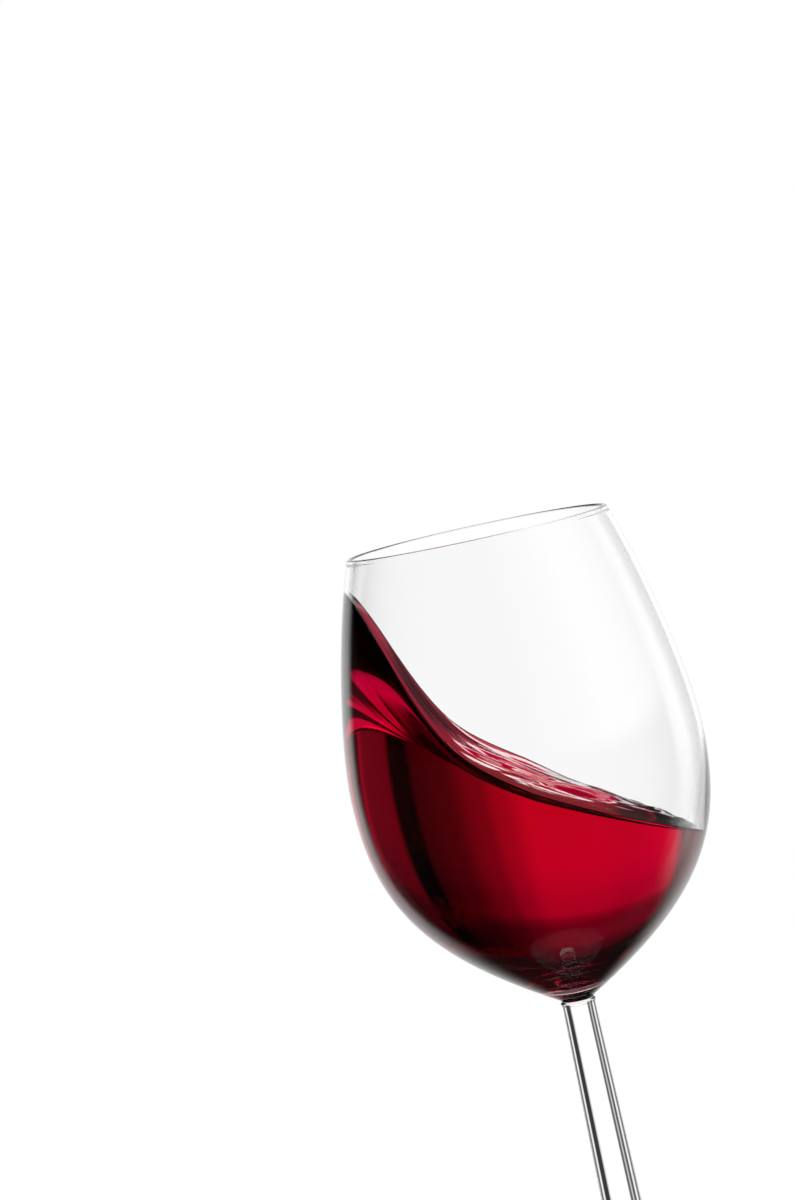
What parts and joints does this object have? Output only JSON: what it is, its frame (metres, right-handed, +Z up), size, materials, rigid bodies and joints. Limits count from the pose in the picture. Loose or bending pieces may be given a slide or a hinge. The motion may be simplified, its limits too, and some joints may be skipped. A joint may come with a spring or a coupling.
{
  "type": "glass of red wine",
  "caption": "Stemmed clear glass with an egg-shaped bowl, filled with red wine that swings up one side in a smooth wave.",
  "frame": {"origin": "middle of the foot's underside, on the glass's axis", "axes": "+Z up along the stem; the wine stands high on the -X side of the bowl and low on the +X side"},
  "size_m": [0.088, 0.088, 0.215],
  "materials": {
    "clear_glass": "clear, polished",
    "red_wine": "clear dark red liquid, wet gloss"
  },
  "bodies": {
    "root": {"wine_glass": "clear_glass", "red_wine": "red_wine"}
  },
  "joints": []
}
